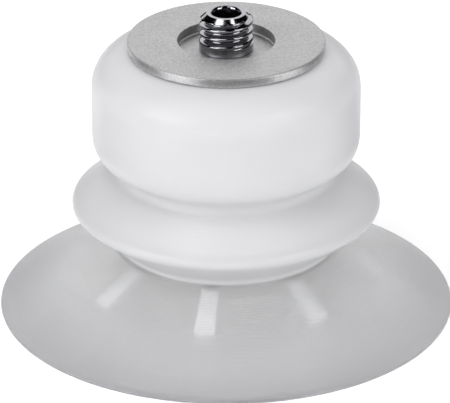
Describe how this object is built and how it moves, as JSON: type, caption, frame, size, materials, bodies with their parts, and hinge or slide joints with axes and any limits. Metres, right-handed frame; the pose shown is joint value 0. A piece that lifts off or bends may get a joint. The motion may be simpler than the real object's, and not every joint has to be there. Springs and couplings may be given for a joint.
{
  "type": "vacuum suction cup",
  "caption": "Translucent silicone bellows suction cup with a ribbed conical lip, a loose steel support washer and a hollow threaded stud for vacuum.",
  "frame": {"origin": "centre of the sealing lip's plane", "axes": "+Z along the cup's axis, from the lip to the stud; -Y is the side seen in the rest view, with a rib 8 degrees from it towards -X"},
  "size_m": [0.051, 0.051, 0.0352],
  "materials": {
    "silicone": "moulded, satin, translucent",
    "zinc_plated_steel": "zinc plated, tumbled matt",
    "nickel_plated_steel": "machined and nickel plated, bright",
    "nitrile_rubber": "moulded, satin"
  },
  "bodies": {
    "head": {"head_shell": "silicone", "head_neck_wall": "silicone", "support_washer": "zinc_plated_steel", "centring_bush": "zinc_plated_steel", "clamping_plate": "zinc_plated_steel", "hollow_stud": "nickel_plated_steel", "seal_ring": "nitrile_rubber"},
    "upper_neck": {"upper_neck_ring": "silicone", "bellows_upper_wall": "silicone"},
    "bellows_rim": {"bellows_rim_ring": "silicone", "bellows_lower_wall": "silicone"},
    "lower_neck": {"lower_neck_ring": "silicone", "lip_neck_wall": "silicone"},
    "lip_root": {"lip_cone": "silicone", "lip_flex_wall": "silicone", "lip_rib_1": "silicone", "lip_rib_2": "silicone", "lip_rib_3": "silicone", "lip_rib_4": "silicone", "lip_rib_5": "silicone", "lip_rib_6": "silicone", "lip_rib_7": "silicone", "lip_rib_8": "silicone"},
    "lip_edge": {"lip_edge_ring": "silicone"}
  },
  "joints": [
    {"name": "neck_tilt", "type": "hinge", "parent": "head", "child": "upper_neck", "pos_m": [0, 0, 0.01775], "axis": [0, 1, 0], "range_deg": [-4.5, 4.5], "stiffness_Nm_per_rad": 0.6, "deforming": ["head_neck_wall"]},
    {"name": "upper_stroke", "type": "slide", "parent": "upper_neck", "child": "bellows_rim", "axis": [0, 0, 1], "range_m": [0, 0.0022], "stiffness_N_per_m": 2000, "springref_m": -0.0004, "deforming": ["bellows_upper_wall"]},
    {"name": "lower_stroke", "type": "slide", "parent": "bellows_rim", "child": "lower_neck", "axis": [0, 0, 1], "range_m": [0, 0.0014], "stiffness_N_per_m": 2000, "springref_m": -0.0004, "deforming": ["bellows_lower_wall"]},
    {"name": "lip_tilt", "type": "hinge", "parent": "lower_neck", "child": "lip_root", "pos_m": [0, 0, 0.0086], "axis": [1, 0, 0], "range_deg": [-4.5, 4.5], "stiffness_Nm_per_rad": 0.6, "deforming": ["lip_neck_wall"]},
    {"name": "lip_press", "type": "slide", "parent": "lip_root", "child": "lip_edge", "axis": [0, 0, 1], "range_m": [0, 0.0023], "stiffness_N_per_m": 1500, "springref_m": -0.0004, "deforming": ["lip_flex_wall"]}
  ],
  "couplings": [
    {"joint": "lower_stroke", "follows": "upper_stroke", "ratio": 0.63}
  ]
}
